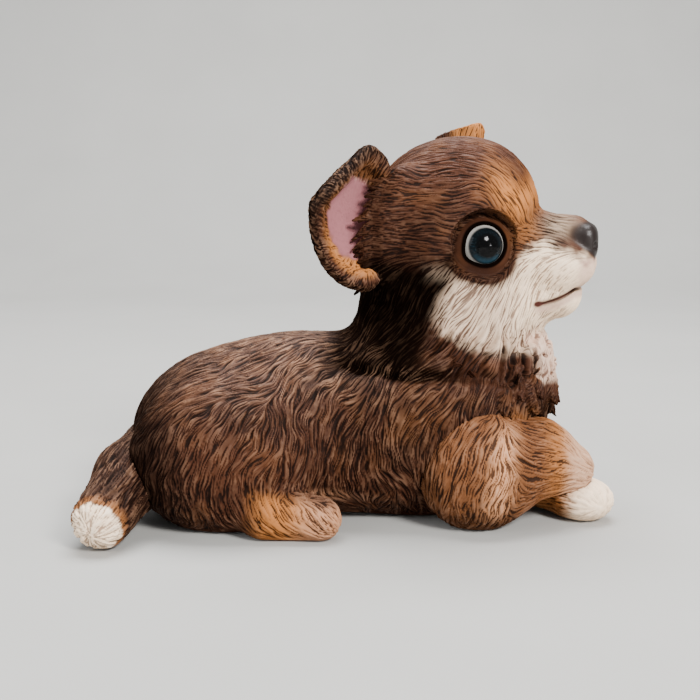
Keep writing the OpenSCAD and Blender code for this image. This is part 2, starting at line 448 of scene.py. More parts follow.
def contour(fn, lo, hi, h):
    """Surface nets of fn = 0 on a grid of spacing h, with each vertex pulled onto the surface."""
    B = 8        # cells along a block; only blocks near the surface are sampled
    batch = 600  # blocks sampled at once
    lo = np.array(lo, F32)
    blocks = np.ceil((np.array(hi) - lo) / (h * B)).astype(int)
    shape = blocks * B
    axes = [np.arange(n) for n in blocks]
    bi = np.stack(np.meshgrid(*axes, indexing="ij"), -1).reshape(-1, 3)
    centre = lo + (bi * B + B / 2) * h
    d = fn(centre.astype(F32))
    inside = np.zeros(tuple(shape), bool)
    view = inside.reshape(blocks[0], B, blocks[1], B, blocks[2], B)
    deep = bi[d < 0]
    view[deep[:, 0], :, deep[:, 1], :, deep[:, 2], :] = True
    near = bi[np.abs(d) < h * B * 1.25]
    cell = np.stack(np.meshgrid(*[np.arange(B)] * 3, indexing="ij"), -1)
    for k in range(0, len(near), batch):
        part = near[k:k + batch]
        pts = lo + (part[:, None, None, None, :] * B + cell[None]) * h
        v = fn(pts.astype(F32)) < 0
        view[part[:, 0], :, part[:, 1], :, part[:, 2], :] = v
    # cells whose corners differ
    total = sum(inside[i:shape[0] - 1 + i, j:shape[1] - 1 + j, m:shape[2] - 1 + m].astype(np.int8)
                for i in (0, 1) for j in (0, 1) for m in (0, 1))
    active = (total > 0) & (total < 8)
    index = np.full(active.shape, -1, np.int32)
    cells = np.argwhere(active)
    index[tuple(cells.T)] = np.arange(len(cells))
    verts = (lo + (cells + 0.5) * h).astype(F32)
    quads = []
    for axis in range(3):
        a = [slice(1, -1)] * 3
        b = [slice(1, -1)] * 3
        a[axis], b[axis] = slice(0, -1), slice(1, None)
        s0, s1 = inside[tuple(a)], inside[tuple(b)]
        for flip in (False, True):
            e = np.argwhere((s0 & ~s1) if not flip else (~s0 & s1))
            if not len(e):
                continue
            for k in range(3):
                if k != axis:
                    e[:, k] += 1
            u, v = [k for k in range(3) if k != axis]
            square = []
            for du, dv in ((0, 0), (1, 0), (1, 1), (0, 1)):
                q = e.copy()
                q[:, u] -= du
                q[:, v] -= dv
                square.append(index[tuple(q.T)])
            q = np.stack(square, 1)
            if flip != (axis == 1):
                q = q[:, ::-1]
            quads.append(q)
    quads = np.concatenate(quads)
    quads = quads[(quads >= 0).all(1)]
    for _ in range(2):
        g = gradient(fn, verts)
        verts = verts - g * np.clip(fn(verts), -0.6 * h, 0.6 * h)[:, None]
    return verts.astype(F32), quads, gradient(fn, verts)


def add_object(name, mesh):
    o = bpy.data.objects.new(name, mesh)
    bpy.context.scene.collection.objects.link(o)
    return o


def mesh_object(name, verts, faces, node, attributes):
    """A casting in place of its CAD node, with the paint masks as point attributes."""
    me = bpy.data.meshes.new(name)
    n = len(faces)
    size = faces.shape[1]
    me.vertices.add(len(verts))
    me.vertices.foreach_set("co", (np.asarray(verts, F32) * 0.001).ravel())
    me.loops.add(n * size)
    me.loops.foreach_set("vertex_index", faces.astype(np.int32).ravel())
    me.polygons.add(n)
    me.polygons.foreach_set("loop_start", np.arange(n, dtype=np.int32) * size)
    me.polygons.foreach_set("use_smooth", np.full(n, True))
    me.update(calc_edges=True)
    for key, value in attributes.items():
        a = me.attributes.new(key, "FLOAT", "POINT")
        a.data.foreach_set("value", np.clip(value, 0, 1).astype(F32))
    me.validate()
    o = add_object(name, me)
    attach(o, "root")
    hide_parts(node)
    return o


# ---------------------------------------------------------------- fur

HAIR_LENGTH, CLUMP_LENGTH = 8.0, 2.8  # of a ridge, in pitches


def strands(p, n, flow, pitch, length, seed):
    """Line integral of noise along the flow: ridges that run with the hair. About unit variance."""
    count = max(3, int(round(length / (0.6 * pitch))))
    acc = ripple(p / pitch, seed)
    total = 1.0
    for sign in (-1, 1):
        q = p.copy()
        for k in range(1, count + 1):
            if k % 2:
                v = flow(q)
                v = norm(v - n * (v * n).sum(-1, keepdims=True)) * (sign * length / count)
            q = q + v
            w = 0.5 + 0.5 * math.cos(math.pi * k / (count + 1))
            acc = acc + w * ripple(q / pitch, seed)
            total += w * w
    return acc / math.sqrt(total) / 0.30


def carve(p, n, flow, fine, clump, seed):
    """Height of the carved hair, 0 in the grooves to 1 on the ridges, for a fine and a clump scale."""
    a = strands(p, n, flow, fine, fine * HAIR_LENGTH, seed)
    b = strands(p, n, flow, clump, clump * CLUMP_LENGTH, seed + 5)
    return 0.5 + 0.5 * np.tanh(1.2 * a + 0.45), 0.5 + 0.5 * np.tanh(0.9 * b)


def strand_mask(fine, clump, w, tuft=0):
    """The carved height for the paint, even where the casting is smooth."""
    return np.clip(0.78 * fine + 0.22 * clump + tuft, 0, 1) * w + (1 - w) * 0.8


def body_flow(p):
    """Direction of the hair; the other flows say the same of their own part."""
    x, y, z = p[..., 0], p[..., 1], p[..., 2]
    low = step(16, 2, z) * step(-45, -30, x) * step(4, -6, x)
    vx = -0.75 + 0.5 * step(44, 20, z) + 1.7 * low
    vx = vx + 0.55 * step(-10, 12, x) * step(60, 30, z) - 0.55 * step(35, 50, x)
    vx = vx - 0.75 * blob((x - 24) / 14) * step(20, 32, z)
    v = np.stack([vx, 0 * x, -1 + 0 * x], -1)
    return v + 0.5 * noise3(p, 7.0, 31) + 0.45 * noise3(p, 2.6, 34)


def head_flow(p):
    q = to_head(p)
    x, z = q[..., 0], q[..., 2]
    brow = step(8, 16, x) * step(30, 24, x) * step(0, 7, z)
    vz = 0.08 + 0.85 * brow - 1.45 * step(-3, -14, z)
    v = np.stack([-1 + 0 * x, 0 * x, vz], -1) @ HEAD_R.T
    neck = step(-22, -34, z)
    down = np.stack([-0.35 + 0 * x, 0 * x, -1 + 0 * x], -1)
    v = v * (1 - neck)[..., None] + down * neck[..., None]
    return norm(v) + 0.28 * noise3(p, 7.0, 41) + 0.26 * noise3(p, 2.4, 44)


def whole_flow(p):
    t = step(-6, 10, above_neck(p))[..., None]
    return body_flow(p) * (1 - t) + head_flow(p) * t


def leg_flow_right(p):
    x = p[..., 0]
    along = step(36, 48, x)
    v = np.stack([-0.35 + 1.5 * along, 0 * x, -1 + 0.8 * along], -1)
    return v + 0.35 * noise3(p, 7, 51) + 0.35 * noise3(p, 2.6, 57)


def leg_flow_left(p):
    x, y = p[..., 0], p[..., 1]
    along = step(16, 6, y)
    v = np.stack([-0.35 + 1.2 * along, -1.2 * along, -1 + 0.85 * along], -1)
    return v + 0.25 * noise3(p, 7, 52)


def tail_flow(p):
    y = p[..., 1]
    v = np.stack([-0.25 + 0 * y, -1 + 0 * y, -0.25 + 0 * y], -1)
    return v + 0.25 * noise3(p, 6, 53)


# ---------------------------------------------------------------- building the castings

# cell size of each casting's grid, in millimetres
SPACING = dict(body=0.28, head=0.22, leg=0.30, tail=0.30, ear=0.26)


def head_zones(p):
    """Paint masks of the head, from the head's own coordinates."""
    q = to_head(p)
    s = folded(q)
    x, y, z = s[..., 0], s[..., 1], s[..., 2]
    wob = noise(p / 3.1, 61) * 1.5 + noise(p / 1.1, 62) * 0.8
    # upper and rear edges of the pale cheek
    top = np.interp(x, (-10, -2, 6, 11, 16, 18.5, 21, 26.5, 33, 38),
                    (-7.5, -8.5, -10.6, -12.2, -13.2, -10.5, -6.5, -3.8, -6.5, -9))
    rear = np.interp(z, (-40, -31, -27, -22, -17, -9), (20, 12, 3, -2, -4, 0))
    cream = step(3.0, -2.6, z - top + wob) * step(-5, 4, x - rear + 1.4 * wob)
    core = step(14, 24, x + wob) * step(-31, -24, z)
    brow = blob((x - 17) / 5.0, (z - 10 + 0.9 * (x - 17)) / 5.0) * step(3, 8, y)
    fore = blob((x - 23) / 3.5, (z - 10) / 5) * 0.7
    side = blob((x - 21) / 4.5, (z + 1.0) / 4.0) * 0.25
    e = np.sqrt(((s - EYE_AT) ** 2).sum(-1))
    l = (s - EYE_AT) @ EYE_F
    rim, up = lid_opening(s)
    near_eye = (e < 15) & (up > -2)
    # dark paint round the lids and at their corner, which is also painted shade under the brow; painted shade
    # in the hollow under the eye
    dark_ring_and_shade = blob((rim - 1.2) / 1.5) + 0.75 * blob((l[..., 0] - 9.5) / 3.0, (l[..., 1] + 3.8) / 1.0)
    shade = blob((x - 11) / 7.5, (z + 10.0 + 0.12 * (x - 11)) / 2.5) * step(6, 9, y)
    dark_ring_and_shade = np.clip(dark_ring_and_shade * near_eye + shade, 0, 1)
    # black lid line; inside the opening it paints the socket's inner wall dark as painted shade
    line = step(0.4, 0.1, rim) * step(EYE_R + 1.0, EYE_R + 0.6, e) * near_eye
    m = z - mouth_height(x)
    front = step(23.0, 25.5, x)
    lip = blob(m / 0.85) * front
    corner = blob((x - 24.9) / 0.9, m / 0.8)
    under = blob((m + 1.7) / 1.1) * front
    philtrum = step(34.5, 37, x) * step(-7.4, -8.6, z) * (m > 0)
    return dict(
        q=q, rim=rim, near_eye=near_eye, cream=cream, core=core, dark_ring_and_shade=dark_ring_and_shade, line=line,
        brow=np.clip(brow + fore + side, 0, 1), lip=np.clip(lip + corner, 0, 1),
        under=np.clip(under + 0.8 * philtrum, 0, 1), black=step(0.75, 0.0, nose(q)),
        snout=blob((x - 30) / 4.5, (z - 1) / 3.2))


def whole_paint(p):
    """Paint masks of the body and head castings, which blend over the neck."""
    x, y, z = p[..., 0], p[..., 1], p[..., 2]
    ay = np.abs(y)
    t = step(-7, 5, above_neck(p))
    h = head_zones(p)
    qx, qy, qz = h["q"][..., 0], h["q"][..., 1], h["q"][..., 2]
    dark_ring_and_shade, core = h["dark_ring_and_shade"], h["core"]
    broad = noise(p / 11.0, 71)
    patch = noise(p / 4.5, 72)
    foot = step(12.5, 8, z + 0.2 * (x + 10)) * step(20, 25, ay) * step(-32, -22, x)
    toe = foot * step(-20, -10, x + patch)
    back = step(30, 44, z + 2 * patch) * step(14, 4, x)
    shoulder = blob((x - 18) / 13, (z - 30) / 12)
    nape = step(39, 46, z + 1.5 * patch) * step(24, 17, x - 0.35 * (z - 55) + 2 * patch)
    nape = nape * step(2, 9, z - 36 - 0.2 * x)
    nape = nape * step(78, 66, z) * step(-14, -4, x)
    rump = step(-40, -60, x + 3 * patch)
    # belly: warmer, and darkened as painted shade under the body
    belly = step(-30, -20, x) * step(22, 12, z) * step(24, 14, x)
    haunch = blob((x + 32) / 15, (z - 18) / 13)
    # crease under the ruff: carved in, and painted dark as painted shade
    cz = z - 43.4 + 0.075 * (x - 3.5) + 1.1 * noise(p / 5, 73)
    crease = blob(cz / 1.3) * step(-6, 2, x) * step(49, 43, x)
    ruff = step(-0.5, 1.5, cz) * step(16, 8, cz) * step(-4, 4, x) * (1 - nape)
    bib = step(43, 48, x + patch * 1.5) * step(36, 39.5, z + patch) * step(54, 50, z) * step(16, 10, ay)
    beard = step(36, 44, x) * step(25, 29, z) * step(40, 36, z) * step(20, 13, ay)
    warm_b = np.clip(0.5 + 0.3 * broad + 0.35 * haunch + 0.3 * belly - 0.1 * back, 0, 1)
    bosom = blob((x - 44) / 7, (z - 27) / 5)
    tan_b = np.clip(0.78 * foot + 0.5 * bosom + 0.06 * shoulder + 0.08 * patch, 0, 1)
    dark_b = (0.95 * nape + 0.55 * rump + 0.3 * (1 - foot) * (1 - back) * (1 - bosom) + 0.08 * foot
              + 0.18 * belly * (1 - foot) + 0.85 * crease + 0.5 * ruff + 0.85 * beard)
    dark_b = np.clip(dark_b, 0, 1)
    cream_b = np.clip(0.13 * toe + 0.75 * bib, 0, 1)
    warm_h = np.clip(0.6 + 0.25 * broad, 0, 1)
    tan_h = np.clip(0.95 * h["brow"] + 0.1 * patch, 0, 1)
    # painted shade: the side of the head darker than the crown, which takes the light from above
    temple = blob((qx + 8) / 9, (qz + 2) / 10) * 0.4
    tufts = blob((qx + 17) / 5) * step(-4, -12, qy)
    dark_h = (h["line"] + 0.35 * tufts + temple + 0.5 * dark_ring_and_shade + 0.98 * nape + 0.35 * ruff * step(40, 30, x)
              + 0.12 * h["snout"])
    dark_h = np.clip(dark_h, 0, 1)
    cream_h = h["cream"] * step(45, 50, z + 1.2 * patch) * (0.66 + 0.34 * core)
    cream_h = cream_h * (1 - np.clip(1.2 * dark_ring_and_shade, 0, 1)) * (1 - nape)
    cream_h = np.clip(cream_h + 0.75 * bib + 0.22 * h["snout"], 0, 1)
    cream_h = cream_h * (1 - 0.2 * step(-21, -27, qz) * (1 - bib))

    def mix(on_body, on_head):
        return on_body * (1 - t) + on_head * t

    pink = 0.5 * t * h["under"] + 0.16 * toe * (1 - t) + 0.25 * bib + 0.22 * t * cream_h * (1 - core)
    # dry brush on the ridges, also a painted highlight, heaviest on the back
    dry_brush_and_highlight = mix(0.34 + 0.42 * back + 0.08 * shoulder, 0.2)
    dry_brush_and_highlight = dry_brush_and_highlight * (1 - 0.75 * nape) * (1 - 0.7 * rump) * (1 - 0.8 * foot)
    paint = dict(
        warm=mix(warm_b, warm_h), tan=mix(tan_b, tan_h),
        dark=mix(dark_b, dark_h), cream=mix(cream_b, cream_h),
        pink=np.clip(pink, 0, 1), red=t * h["lip"], black=t * h["black"],
        grey=np.clip((1 - t) * (0.5 * back + 0.35 * rump), 0, 1), dry_brush_and_highlight=np.clip(dry_brush_and_highlight, 0, 1))
    return paint, h, t, crease, ruff


def fur_weight_head(h):
    """Where the head is left smooth: nose, lips, lids and the muzzle's tip."""
    q = h["q"]
    w = 1 - step(1.4, 0.2, nose(q))
    w = w * (1 - 0.9 * h["lip"]) * (1 - 0.7 * h["under"])
    w = w * (1 - h["near_eye"] * step(0.9, 0.3, h["rim"]))
    return w * (1 - 0.45 * step(27, 35, q[..., 0]))


def build_whole(name, fn, lo, hi, h, node):
    """Body or head casting. Both take their hair from the whole form, so it runs on across the joint."""
    p, quads, _ = contour(fn, lo, hi, h)
    n = gradient(whole, p, 0.2)
    paint, zones, t, crease, ruff = whole_paint(p)
    fine = np.zeros(len(p), F32)
    clump = np.zeros(len(p), F32)
    parts = ((t < 0.999, 1 - t, 0.38, 1.35, 101), (t > 0.001, t, 0.36, 1.2, 131))
    for use, weight, pitch, big, seed in parts:
        f, c = carve(p[use], n[use], whole_flow, pitch, big, seed)
        fine[use] += f * weight[use]
        clump[use] += c * weight[use]
    w = np.clip(1 - t, 0, 1) + t * fur_weight_head(zones)
    # cut faces and the underside stay plain
    depth = np.abs(whole(p))
    w = w * step(0.3, 1.6, p[..., 2])
    height = (0.40 * (1 - t) + 0.28 * t) * (fine - 0.8) + (0.50 * (1 - t) + 0.18 * t) * (clump - 0.7)
    rough = ruff > 0.01
    tuft = np.zeros(len(p), F32)
    tuft[rough] = np.tanh(strands(p[rough], n[rough], whole_flow, 2.2, 5.0, 141)) * ruff[rough]
    height = height + 1.4 * tuft - 1.3 * crease
    p = p + n * (height * w * step(3.0, 1.8, depth))[:, None]
    w = w * step(0.5, 0.15, depth)
    paint["strand"] = strand_mask(fine, clump, w, 0.12 * tuft)
    paint["smooth"] = 1 - w
    return mesh_object(name, p, quads, node, paint)


def flat_paint(p, warm, tan, cream=0, dark=0, pink=0, dry_brush_and_highlight=0.45, grey=0):
    """All the paint masks of a piece, each from a number or an array."""
    one = np.ones(len(p), F32)
    return dict(warm=warm * one, tan=tan * one, cream=cream * one, dark=dark * one, pink=pink * one,
                red=0 * one, black=0 * one, grey=grey * one, dry_brush_and_highlight=dry_brush_and_highlight * one)


def build_limb(name, fn, skin, flow, paint_fn, lo, hi, h, node, amp=0.32, seed=151):
    """Foreleg or tail casting."""
    p, quads, _ = contour(fn, lo, hi, h)
    n = gradient(skin, p, 0.2)
    f, c = carve(p, n, flow, 0.37, 1.3, seed)
    paint, keep = paint_fn(p)
    depth = np.abs(skin(p))
    w = step(0.2, 1.4, p[..., 2]) * keep
    p = p + n * ((amp * (f - 0.75) + amp * 1.3 * (c - 0.7)) * w * step(3.0, 1.8, depth))[:, None]
    w = w * step(0.45, 0.12, depth)
    paint["strand"] = strand_mask(f, c, w)
    paint["smooth"] = 1 - w
    return mesh_object(name, p, quads, node, paint)


def paint_right_leg(p):
    x, z = p[..., 0], p[..., 2]
    patch = noise(p / 4, 81)
    stripe = blob((x - 38.3 - 0.12 * (z - 18)) / 3.4) * step(2, 8, z) * step(32, 24, z)
    wrist = step(48, 57, x + patch)
    paw = step(54, 61, x + patch)
    # painted shade: darker near the floor and at the back, where the leg meets the body
    dark = 0.45 * step(8, 2, z) + 0.35 * step(24, 18, x)
    paint = flat_paint(p, 0.75 + 0.2 * patch, tan=np.clip(0.16 + 0.75 * stripe + 0.5 * wrist, 0, 1),
                       cream=0.3 * paw + 0.14 * stripe, dark=dark, pink=0.12 * stripe + 0.15 * paw)
    return paint, 1 - 0.35 * paw


def paint_left_leg(p):
    x, y, z = p[..., 0], p[..., 1], p[..., 2]
    patch = noise(p / 4, 82)
    wrist = step(4, -4, y + patch)
    paw = step(56, 62, x + patch)
    stripe = blob((x - 37.5) / 4.5) * step(2, 8, z) * step(32, 24, z) * step(8, 14, y)
    # painted shade: darker near the floor
    paint = flat_paint(p, 0.5 + 0.2 * patch, tan=np.clip(0.8 * wrist + 0.7 * stripe, 0, 1),
                       cream=np.clip(paw + 0.25 * stripe, 0, 1), dark=0.4 * step(6, 2, z) * (1 - paw),
                       pink=0.06 * paw + 0.1 * stripe)
    return paint, 1 - 0.45 * paw


def paint_tail(p):
    patch = noise(p / 2.2, 83)
    far = (p - vec(*TAIL_TIP)) @ vec(-0.15, -0.96, -0.226) + 0.5 * patch
    tip = step(3.4, 4.4, far)
    glow = step(0, 3.4, far) * (1 - tip)
    paint = flat_paint(p, 0.35 + 0.2 * patch + 0.5 * glow, tan=0.35 * glow, cream=tip,
                       dark=0.55 * (1 - tip) * (1 - glow), pink=0.05 * tip, grey=0.25 * (1 - tip))
    return paint, np.ones(len(p), F32)


def build_ear(name, fn, spec, lo, hi, node, seed):
    """Ear casting: radial hair on the rim and back, and bare skin in the near ear's bowl."""
    p, quads, n = contour(fn, lo, hi, SPACING["ear"])
    _, u, height, _, r = ear_shape(to_head(p), *spec)
    M = frame_of(spec[1], spec[2])
    side = spec[-1]
    near = side < 0
    front = step(-0.1, 0.35, ((n @ HEAD_R) @ M)[:, 2])
    bare = front * step(0.64, 0.52, r + 0.06 * noise(p / 1.5, 91)) * near

    def flow(at):
        _, across, up, _, _ = ear_shape(to_head(at), *spec)
        v = np.stack([across * side, up * 0.55 + 3.0, 0 * across], -1)
        return (norm(v) @ M.T) @ HEAD_R.T + 0.15 * noise3(at, 5, 55)

    f, c = carve(p, n, flow, 0.38, 1.2, seed)
    fur = 1 - bare
    p = p + n * ((0.2 * (f - 0.75) + 0.2 * (c - 0.7)) * fur)[:, None]
    patch = noise(p / 3.5, 92)
    back = 1 - front
    if near:
        edge = step(10.6, 13.6, across_fold(u, height))
        rim_dark = np.clip(step(0.93, 1.02, r) + edge, 0, 1)
        tan = front * (1 - edge) * step(0.95, 0.75, r) * (0.2 + 0.7 * step(4, -8, height))
        strokes = step(0.72, 0.95, f) * np.clip(step(2, 9, height) + step(0, -5, u), 0, 1)
        dark = (0.22 + 0.52 * rim_dark - 0.3 * tan + 0.3 * back) * fur
        paint = flat_paint(p, 0.55 + 0.2 * patch, tan=np.clip(tan, 0, 1) * fur, cream=0.3 * strokes * bare,
                           dark=np.clip(dark, 0, 1), pink=0.96 * bare, dry_brush_and_highlight=0.5, grey=0.85 * edge)
    else:
        gold = step(4, -2, u)
        paint = flat_paint(p, 0.6 + 0.2 * patch, tan=0.95 * gold, dark=0.2 * back * (1 - gold), dry_brush_and_highlight=0.3)
    paint["strand"] = strand_mask(f, c, fur)
    paint["smooth"] = bare
    return mesh_object(name, p, quads, node, paint)


body = build_whole("body_casting", casting_body, (-68, -42, -1), (58, 42, 62), SPACING["body"],
                   "body_shell")
head = build_whole("head_casting", casting_head, (-5, -27, 30), (72, 27, 108), SPACING["head"],
                   "head_shell")
leg_r = build_limb("right_foreleg_casting", casting_right_leg, foreleg_right, leg_flow_right, paint_right_leg,
                   (12, -37, -1), (70, -3, 36), SPACING["leg"], "right_foreleg")
leg_l = build_limb("left_foreleg_casting", casting_left_leg, foreleg_left, leg_flow_left, paint_left_leg,
                   (12, -26, -1), (75, 37, 36), SPACING["leg"], "left_foreleg", seed=157)
tail = build_limb("tail_casting", casting_tail, tail_form, tail_flow, paint_tail,
                  (-76, -51, -1), (-44, 14, 28), SPACING["tail"], "tail", amp=0.36, seed=163)
ear_r = build_ear("right_ear_casting", casting_right_ear, RIGHT_EAR,
                  (-16, -40, 56), (24, 0, 110), "right_ear", 171)
ear_l = build_ear("left_ear_casting", casting_left_ear, LEFT_EAR,
                  (16, 6, 66), (50, 40, 116), "left_ear", 174)


# ---------------------------------------------------------------- eyes

BALL_R = EYE_R - 0.16
CAP_R, CAP_INNER_R = EYE_R - 0.02, EYE_R - 0.10


def dome(name, side, node, r, inner=None):
    """Half ball, or half shell, on the eye's axis, with angle attributes for the painted iris."""
    rings, around = ((72, 120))
    th = np.linspace(0, math.pi / 2, rings + 1)[1:]
    ph = np.arange(around) * 2 * math.pi / around
    T, P = np.meshgrid(th, ph, indexing="ij")
    grid = np.stack([np.sin(T) * np.cos(P), np.sin(T) * np.sin(P), np.cos(T)], -1).reshape(-1, 3)
    grid = np.vstack([grid, [[0, 0, 1]]])
    size, top, last = len(grid), len(grid) - 1, (rings - 1) * around
    ring = [(j, (j + 1) % around) for j in range(around)]
    outer = [(i * around + j, (i + 1) * around + j, (i + 1) * around + k, i * around + k)
             for i in range(rings - 1) for j, k in ring] + [(top, j, k) for j, k in ring]
    if inner:
        pts = np.vstack([grid * r, grid * inner])
        faces = outer + [tuple(size + v for v in f[::-1]) for f in outer]
        faces += [(last + k, last + j, size + last + j, size + last + k) for j, k in ring]
    else:
        pts = np.vstack([grid * r, [[0, 0, 0]]])
        faces = outer + [(size, last + k, last + j) for j, k in ring]
    M = frame_of((EYE_LOOK[0], side * EYE_LOOK[1], EYE_LOOK[2]), (0, 0, 1))
    world = (pts @ M.T + np.array([EYE_AT[0], side * EYE_AT[1], EYE_AT[2]])) @ HEAD_R.T + HEAD_AT
    me = bpy.data.meshes.new(name)
    me.from_pydata([tuple(c) for c in world * 0.001], [], faces)
    me.polygons.foreach_set("use_smooth", np.arange(len(faces)) < len(outer) * (2 if inner else 1))
    # the gaze: a little forward of the socket's own axis
    g = (pts / r) @ frame_of(unit((-0.04 * side, 0.05, 1.0)), (0, 1, 0))
    for key, value in (("gaze_x", g[:, 0]), ("gaze_y", g[:, 1])):
        a = me.attributes.new(key, "FLOAT", "POINT")
        a.data.foreach_set("value", value.astype(F32))
    me.update()
    o = add_object(name, me)
    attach(o, "root")
    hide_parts(node)
    return o


balls = [dome(side + "_eye_painted_ball", k, side + "_eye_ball", BALL_R)
         for side, k in (("right", -1), ("left", 1))]
caps = [dome(side + "_eye_clear_cap", k, side + "_eye_cap", CAP_R, CAP_INNER_R)
        for side, k in (("right", -1), ("left", 1))]


# ---------------------------------------------------------------- materials

def srgb(code):
    """Linear colour of a six-digit sRGB code."""
    c = [int(code[i:i + 2], 16) / 255 for i in (0, 2, 4)]
    return [v / 12.92 if v <= 0.04045 else ((v + 0.055) / 1.055) ** 2.4 for v in c] + [1.0]


# every colour, by its sRGB code
PAINT = {name: srgb(code) for name, code in dict(
    brown_cool="2e180e", brown_warm="4d2b1b", brown_grey="423028", tan="b4723a",
    near_black="060302", cream="f8dcbc", mauve="925e62", groove_wash_and_shade="080302", groove_wash_and_shade_on_cream="5c3728",
    dry_brush_and_highlight="a57d62", dry_brush_and_highlight_on_cream="fdf7ee", speck="1d120d", lips="43201a", nose="180e0b",
    pupil="030303", iris_dark="050b0e", iris_ray="0f1d24", iris_low="25495a", iris_lid_shadow="04080a",
    iris_edge="0b1114", eye_white="948f89", eye_white_lid_shade="6f6862", plug_dark="2a2725",
    plug_pale="3b3734", stage_dark="9c9b98", stage_pale="a5a4a1").items()}


class Nodes:
    """A material's node tree, with short ways to add the nodes used here."""

    def __init__(self, name):
        self.mat = bpy.data.materials.new(name)
        self.mat.use_nodes = True
        self.t = self.mat.node_tree
        self.bsdf = self.t.nodes["Principled BSDF"]

    def add(self, kind, **props):
        n = self.t.nodes.new(kind)
        for k, v in props.items():
            setattr(n, k, v)
        return n

    def link(self, a, b):
        self.t.links.new(a, b)

    def put(self, value, socket):
        if hasattr(value, "is_output"):
            self.link(value, socket)
        else:
            socket.default_value = value

    def attr(self, name):
        return self.add("ShaderNodeAttribute", attribute_name=name).outputs["Fac"]

    def math(self, op, a, b=0.0, clamp=False):
        n = self.add("ShaderNodeMath", operation=op, use_clamp=clamp)
        self.put(a, n.inputs[0])
        self.put(b, n.inputs[1])
        return n.outputs[0]

    def mix(self, fac, a, b):
        n = self.add("ShaderNodeMix", data_type="RGBA")
        self.put(fac, n.inputs["Factor"])
        self.put(a, n.inputs["A"])
        self.put(b, n.inputs["B"])
        return n.outputs["Result"]

    def times(self, a, b):
        return self.math("MULTIPLY", a, b)

    def less(self, x):
        return self.math("SUBTRACT", 1.0, x)

    def remap(self, x, a, b, c=0.0, d=1.0):
        n = self.add("ShaderNodeMapRange", interpolation_type="SMOOTHSTEP")
        self.put(x, n.inputs["Value"])
        for k, v in zip(("From Min", "From Max", "To Min", "To Max"), (a, b, c, d)):
            self.put(v, n.inputs[k])
        return n.outputs["Result"]

    def noise(self, scale, detail=3.0, rough=0.5):
        co = self.add("ShaderNodeTexCoord").outputs["Object"]
        n = self.add("ShaderNodeTexNoise")
        self.link(co, n.inputs["Vector"])
        n.inputs["Scale"].default_value = scale
        n.inputs["Detail"].default_value = detail
        n.inputs["Roughness"].default_value = rough
        return n.outputs["Fac"]

    def bump(self, height, strength, distance):
        n = self.add("ShaderNodeBump")
        n.inputs["Strength"].default_value = strength
        n.inputs["Distance"].default_value = distance
        self.link(height, n.inputs["Height"])
        self.link(n.outputs["Normal"], self.bsdf.inputs["Normal"])


def coat_material(name):
    """Cold-painted casting: dark wash in the grooves, which is also painted shade; airbrushed zones;
    dry-brushed ridges, which are also a painted highlight.
    """
    m = Nodes(name)
    strand, smooth, dry_brush_and_highlight = m.attr("strand"), m.attr("smooth"), m.attr("dry_brush_and_highlight")
    speck = m.noise(900, 4, 0.6)
    drift = m.noise(120, 3, 0.5)
    warm = m.math("ADD", m.attr("warm"), m.times(m.math("SUBTRACT", drift, 0.5), 0.7), clamp=True)
    brown = m.mix(warm, PAINT["brown_cool"], PAINT["brown_warm"])
    brown = m.mix(m.attr("grey"), brown, PAINT["brown_grey"])
    tan = m.mix(m.attr("tan"), brown, PAINT["tan"])
    tan = m.mix(m.attr("dark"), tan, PAINT["near_black"])
    # half-pale hair is paler on its ridges, partly as a painted highlight
    cream = m.attr("cream")
    streak = m.times(m.math("SUBTRACT", strand, 0.62), m.times(cream, m.less(cream)))
    cream = m.math("ADD", cream, streak, clamp=True)
    base = m.mix(cream, tan, PAINT["cream"])
    base = m.mix(m.attr("pink"), base, PAINT["mauve"])
    # grooves keep the dark wash, which is also painted shade, pinker and thinner where the coat is pale
    groove = m.mix(cream, m.mix(0.86, base, PAINT["groove_wash_and_shade"]), m.mix(0.68, base, PAINT["groove_wash_and_shade_on_cream"]))
    colour = m.mix(m.remap(strand, 0.12, 0.62), groove, base)
    # ridges catch a lighter dry brush, which is also a painted highlight
    light = m.mix(0.6, base, m.mix(cream, PAINT["dry_brush_and_highlight"], PAINT["dry_brush_and_highlight_on_cream"]))
    patchy = m.remap(m.noise(260, 3, 0.6), 0.35, 0.65, 0.25, 1.0)
    ridge = m.times(m.remap(strand, 0.62, 0.95), m.times(dry_brush_and_highlight, patchy))
    colour = m.mix(m.times(ridge, m.less(smooth)), colour, light)
    colour = m.mix(m.times(m.remap(speck, 0.45, 0.75), 0.12), colour, PAINT["speck"])
    colour = m.mix(m.attr("red"), colour, PAINT["lips"])
    colour = m.mix(m.attr("black"), colour, PAINT["nose"])
    m.link(colour, m.bsdf.inputs["Base Color"])
    # the nose is glossier than the coat, and dark hair the dullest
    rough = m.math("ADD", m.remap(strand, 0.3, 0.95, 0.62, 0.46), m.times(speck, 0.10))
    m.link(m.math("SUBTRACT", rough, m.times(m.attr("black"), 0.14)), m.bsdf.inputs["Roughness"])
    gloss = m.math("ADD", m.times(m.less(m.attr("dark")), 0.10), m.times(m.attr("black"), 0.24))
    m.link(gloss, m.bsdf.inputs["Specular IOR Level"])
    m.bump(m.math("ADD", m.noise(1500, 4, 0.6), m.times(m.noise(420, 3, 0.5), 1.2)), 0.35, 0.00012)
    return m.mat


PUPIL_R, IRIS_R = (0.40, 0.58), (0.68, 0.76)  # where each begins and ends to fade, in ball radii


